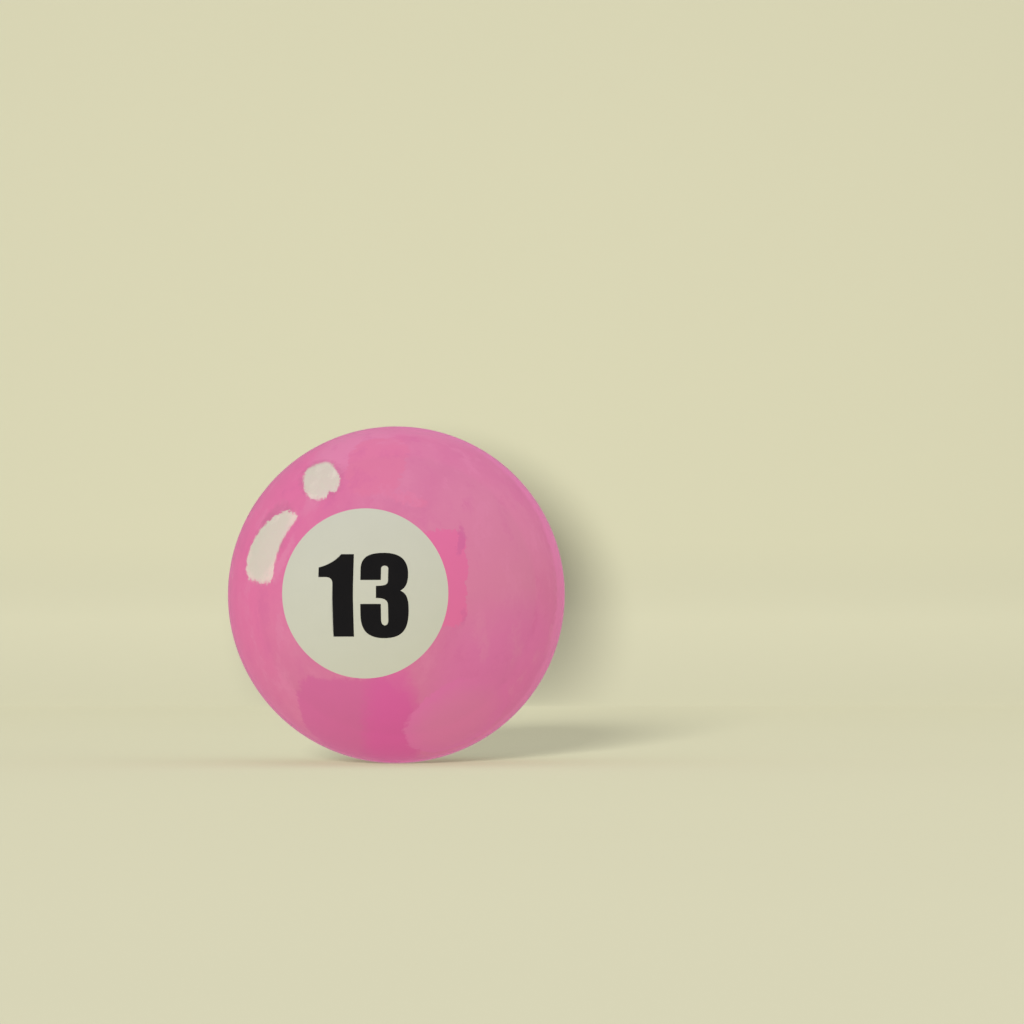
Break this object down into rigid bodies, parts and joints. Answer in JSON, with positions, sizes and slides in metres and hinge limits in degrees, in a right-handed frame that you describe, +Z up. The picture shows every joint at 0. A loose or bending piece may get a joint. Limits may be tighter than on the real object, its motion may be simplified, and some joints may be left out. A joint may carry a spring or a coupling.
{
  "type": "numbered pool ball",
  "caption": "Polished pool ball: a coloured resin sphere with a large round cream number plug on opposite sides and black inlaid numerals.",
  "frame": {"origin": "the ball's centre", "axes": "Y is the number axis: the front number faces -Y and the back number faces +Y. Both numbers are upright with +Z up, and the ball touches the cloth at its lowest point, on -Z"},
  "size_m": [0.0572, 0.0572, 0.0572],
  "materials": {
    "core_resin": "filled resin as cast, hidden inside the ball",
    "shell_resin": "polished pink cast resin with soft tonal mottling",
    "plug_resin": "polished cream cast resin",
    "numeral_resin": "polished black cast resin"
  },
  "bodies": {
    "root": {"inner_core": "core_resin", "colour_shell": "shell_resin", "number_plug_front": "plug_resin", "number_plug_back": "plug_resin", "digit_one_front": "numeral_resin", "digit_three_front": "numeral_resin", "digit_one_back": "numeral_resin", "digit_three_back": "numeral_resin"}
  },
  "joints": []
}
